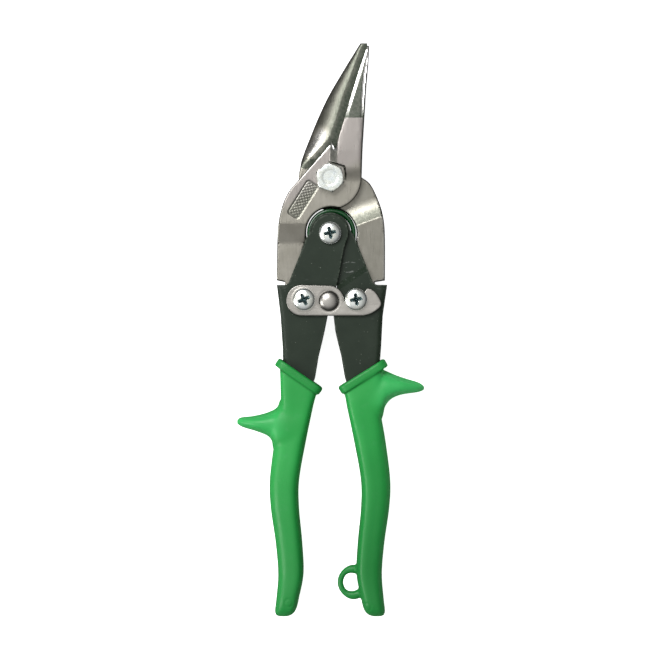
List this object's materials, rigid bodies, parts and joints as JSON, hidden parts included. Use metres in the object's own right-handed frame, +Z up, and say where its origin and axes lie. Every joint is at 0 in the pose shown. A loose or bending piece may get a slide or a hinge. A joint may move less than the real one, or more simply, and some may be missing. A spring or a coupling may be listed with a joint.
{
  "type": "aviation snips",
  "caption": "Compound-leverage sheet-metal shears with offset jaws, channel handles, moulded grips and a latch, closed and lying flat.",
  "frame": {"origin": "on the main pivot's axis, in the plane that the tool rests on", "axes": "+X to the right, +Y from the pivot towards the jaws, +Z up, out of the front face"},
  "size_m": [0.0809, 0.2476, 0.022],
  "materials": {
    "blade_steel": "ground and polished forged steel",
    "zinc": "bright zinc plate",
    "plain_steel": "tumbled sheet steel",
    "handle_paint": "satin dark grey-green paint",
    "spring_enamel": "gloss dark green enamel",
    "green_vinyl": "satin moulded vinyl"
  },
  "bodies": {
    "pivot": {"main_pivot_bolt": "zinc", "main_pivot_nut": "zinc"},
    "front_blade": {"front_blade": "blade_steel"},
    "back_blade": {"back_blade": "blade_steel"},
    "left_handle": {"left_handle_channel": "handle_paint", "left_grip": "green_vinyl", "left_pivot_screw": "zinc", "left_pivot_nut": "zinc", "left_front_washer": "plain_steel", "left_rear_washer": "plain_steel", "hub_screw": "zinc", "hub_nut": "zinc", "hub_bush": "plain_steel", "handle_spring": "spring_enamel"},
    "right_handle": {"right_handle_channel": "handle_paint", "right_grip": "green_vinyl", "catch_screw": "zinc", "catch_nut": "zinc", "right_front_washer": "plain_steel", "right_rear_washer": "plain_steel"},
    "latch": {"latch": "plain_steel"}
  },
  "joints": [
    {"name": "front_blade_open", "type": "hinge", "parent": "pivot", "child": "front_blade", "pos_m": [0, 0, 0.01], "axis": [0, 0, -1], "range_deg": [0, 11]},
    {"name": "back_blade_open", "type": "hinge", "parent": "pivot", "child": "back_blade", "pos_m": [0, 0, 0.01], "axis": [0, 0, 1], "range_deg": [0, 11]},
    {"name": "left_handle_swing", "type": "hinge", "parent": "front_blade", "child": "left_handle", "pos_m": [-0.0112, -0.0524, 0.01], "axis": [0, 0, -1], "range_deg": [0, 10.4]},
    {"name": "right_handle_swing", "type": "hinge", "parent": "back_blade", "child": "right_handle", "pos_m": [0.0112, -0.0524, 0.01], "axis": [0, 0, 1], "range_deg": [0, 10.4], "deforming": ["handle_spring"]},
    {"name": "latch_swing", "type": "hinge", "parent": "left_handle", "child": "latch", "pos_m": [-0.0112, -0.0524, 0.0183], "axis": [0, 0, -1], "range_deg": [0, 69.5]}
  ],
  "couplings": [
    {"joint": "back_blade_open", "follows": "front_blade_open", "ratio": 1},
    {"joint": "left_handle_swing", "follows": "front_blade_open", "ratio": 0.943},
    {"joint": "right_handle_swing", "follows": "front_blade_open", "ratio": 0.943},
    {"joint": "latch_swing", "follows": "front_blade_open", "ratio": 6.3}
  ]
}
